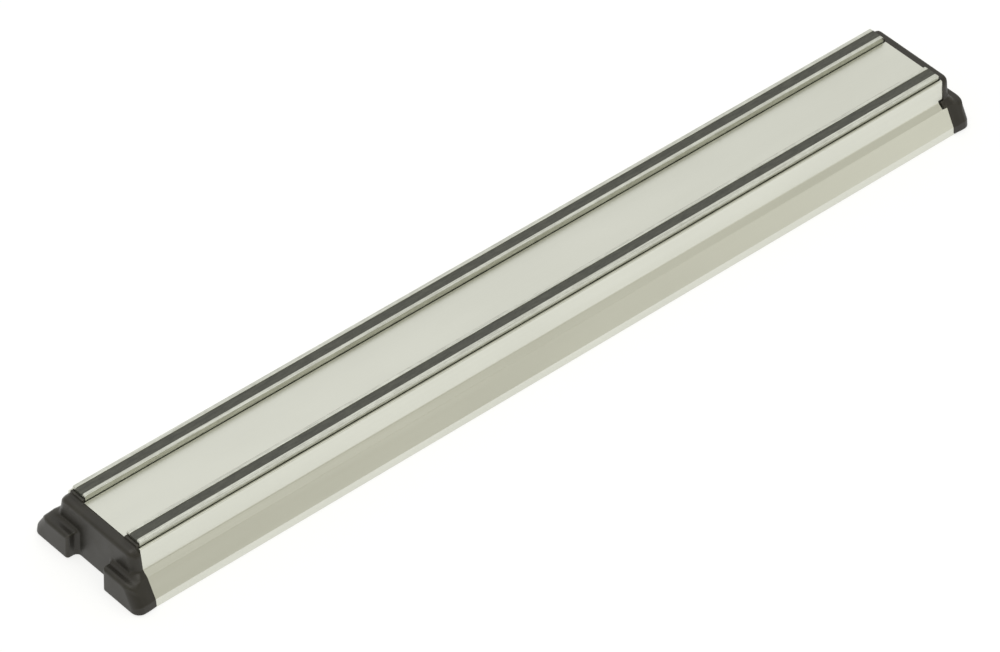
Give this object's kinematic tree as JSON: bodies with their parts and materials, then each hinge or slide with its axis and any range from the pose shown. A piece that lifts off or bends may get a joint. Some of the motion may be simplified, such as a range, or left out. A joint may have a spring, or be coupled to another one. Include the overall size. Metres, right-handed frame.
{
  "type": "magnetic knife rack",
  "caption": "Wall-mounted magnetic knife rack: open-backed aluminium rail with two steel-edged magnetic tracks and moulded end caps with feet.",
  "frame": {"origin": "middle of the back plane of the rail, which lies on the wall; the rack lies on its back", "axes": "+X along the rail, +Y across it, +Z out of the wall towards the blades"},
  "size_m": [0.4704, 0.066, 0.0268],
  "materials": {
    "rail": "satin natural anodised extrusion",
    "pole_strip": "cold-rolled strip, drawn along its length",
    "infill": "matt black extruded strip",
    "end_cap": "fine-grained black injection moulding",
    "magnet": "ground sintered ferrite"
  },
  "bodies": {
    "root": {"rail": "rail", "left_end_cap": "end_cap", "right_end_cap": "end_cap", "front_infill": "infill", "rear_infill": "infill", "front_inner_pole_strip": "pole_strip", "front_outer_pole_strip": "pole_strip", "rear_inner_pole_strip": "pole_strip", "rear_outer_pole_strip": "pole_strip", "front_magnet_1": "magnet", "front_magnet_2": "magnet", "front_magnet_3": "magnet", "front_magnet_4": "magnet", "front_magnet_5": "magnet", "front_magnet_6": "magnet", "front_magnet_7": "magnet", "front_magnet_8": "magnet", "front_magnet_9": "magnet", "rear_magnet_1": "magnet", "rear_magnet_2": "magnet", "rear_magnet_3": "magnet", "rear_magnet_4": "magnet", "rear_magnet_5": "magnet", "rear_magnet_6": "magnet", "rear_magnet_7": "magnet", "rear_magnet_8": "magnet", "rear_magnet_9": "magnet"}
  },
  "joints": []
}
